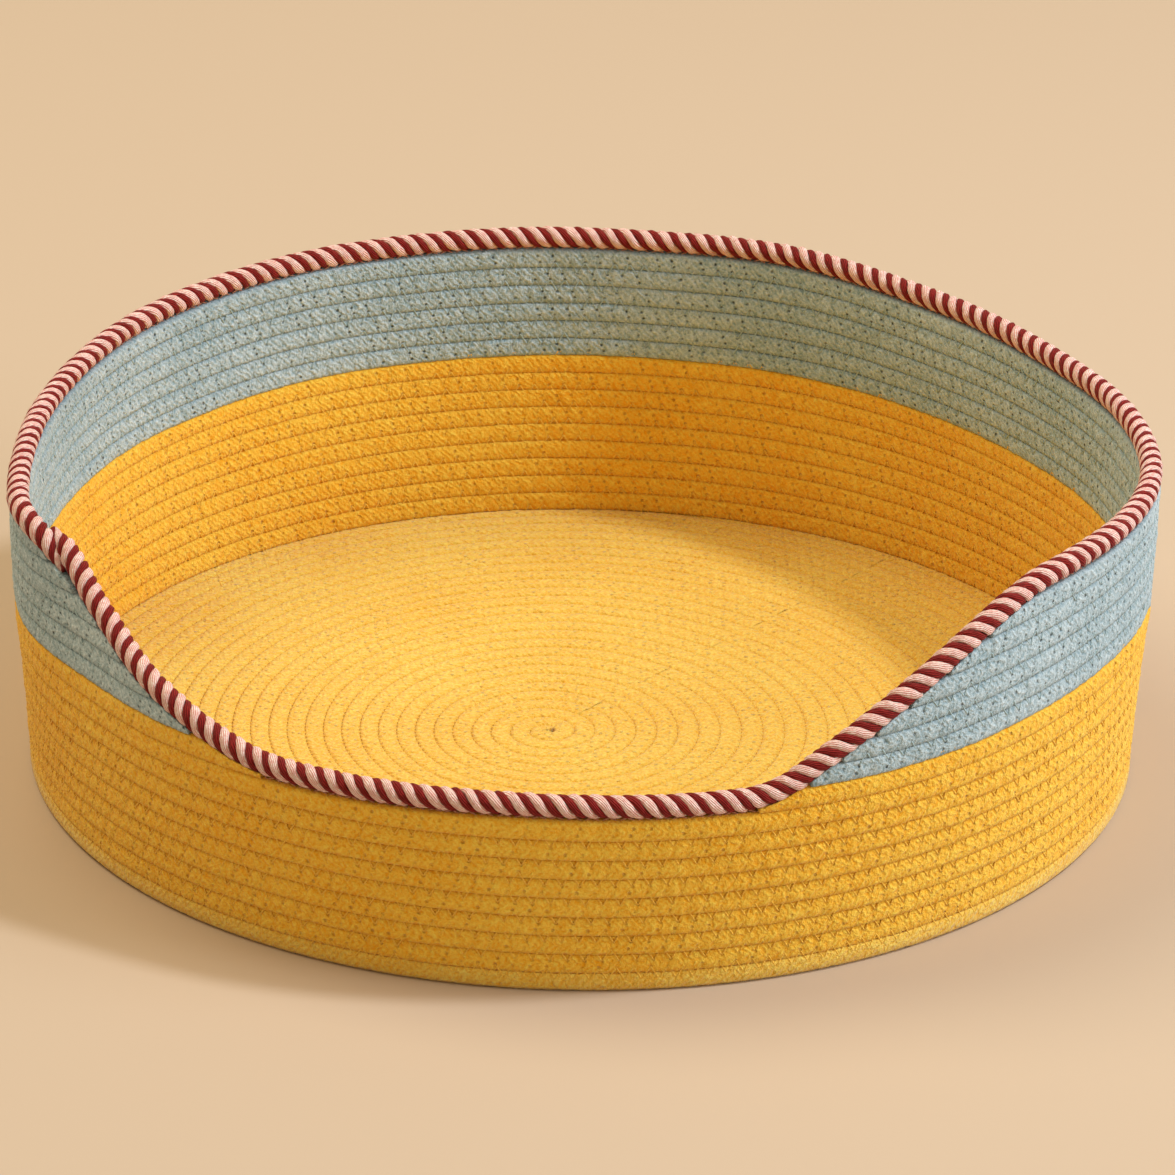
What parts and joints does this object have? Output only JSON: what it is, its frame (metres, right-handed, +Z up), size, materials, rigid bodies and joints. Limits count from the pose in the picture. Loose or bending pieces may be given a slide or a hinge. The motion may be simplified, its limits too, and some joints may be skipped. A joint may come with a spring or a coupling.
{
  "type": "coiled rope pet bed basket",
  "caption": "Round open-topped pet basket of coiled, stitched cotton rope, with a wall that dips at the front and a twisted cord along its rim.",
  "frame": {"origin": "centre of the underside of the base", "axes": "+Z up, the dipped front faces -Y, +X is to the right seen from the front"},
  "size_m": [0.4572, 0.4572, 0.1374],
  "materials": {
    "yellow_rope": "matt stitched cotton rope",
    "blue_rope": "matt stitched cotton rope",
    "rim_cord": "matt twisted cotton cord",
    "yellow_thread": "sewing thread with a slight sheen",
    "blue_thread": "sewing thread with a slight sheen",
    "rim_thread": "sewing thread with a slight sheen"
  },
  "bodies": {
    "root": {"base_turn_01": "yellow_rope", "base_turn_02": "yellow_rope", "base_turn_03": "yellow_rope", "base_turn_04": "yellow_rope", "base_turn_05": "yellow_rope", "base_turn_06": "yellow_rope", "base_turn_07": "yellow_rope", "base_turn_08": "yellow_rope", "base_turn_09": "yellow_rope", "base_turn_10": "yellow_rope", "base_turn_11": "yellow_rope", "base_turn_12": "yellow_rope", "base_turn_13": "yellow_rope", "base_turn_14": "yellow_rope", "base_turn_15": "yellow_rope", "base_turn_16": "yellow_rope", "base_turn_17": "yellow_rope", "base_turn_18": "yellow_rope", "base_turn_19": "yellow_rope", "base_turn_20": "yellow_rope", "base_turn_21": "yellow_rope", "base_turn_22": "yellow_rope", "base_turn_23": "yellow_rope", "base_turn_24": "yellow_rope", "base_turn_25": "yellow_rope", "base_turn_26": "yellow_rope", "base_turn_27": "yellow_rope", "base_turn_28": "yellow_rope", "yellow_row_01": "yellow_rope", "yellow_row_02": "yellow_rope", "yellow_row_03": "yellow_rope", "yellow_row_04": "yellow_rope", "yellow_row_05": "yellow_rope", "yellow_row_06": "yellow_rope", "yellow_row_07": "yellow_rope", "yellow_row_08": "yellow_rope", "yellow_row_09": "yellow_rope", "blue_row_01": "blue_rope", "blue_row_02": "blue_rope", "blue_row_03": "blue_rope", "blue_row_04": "blue_rope", "blue_row_05": "blue_rope", "blue_row_06": "blue_rope", "rim_cord": "rim_cord", "base_thread": "yellow_thread", "yellow_thread": "yellow_thread", "blue_thread": "blue_thread", "rim_thread": "rim_thread"}
  },
  "joints": []
}
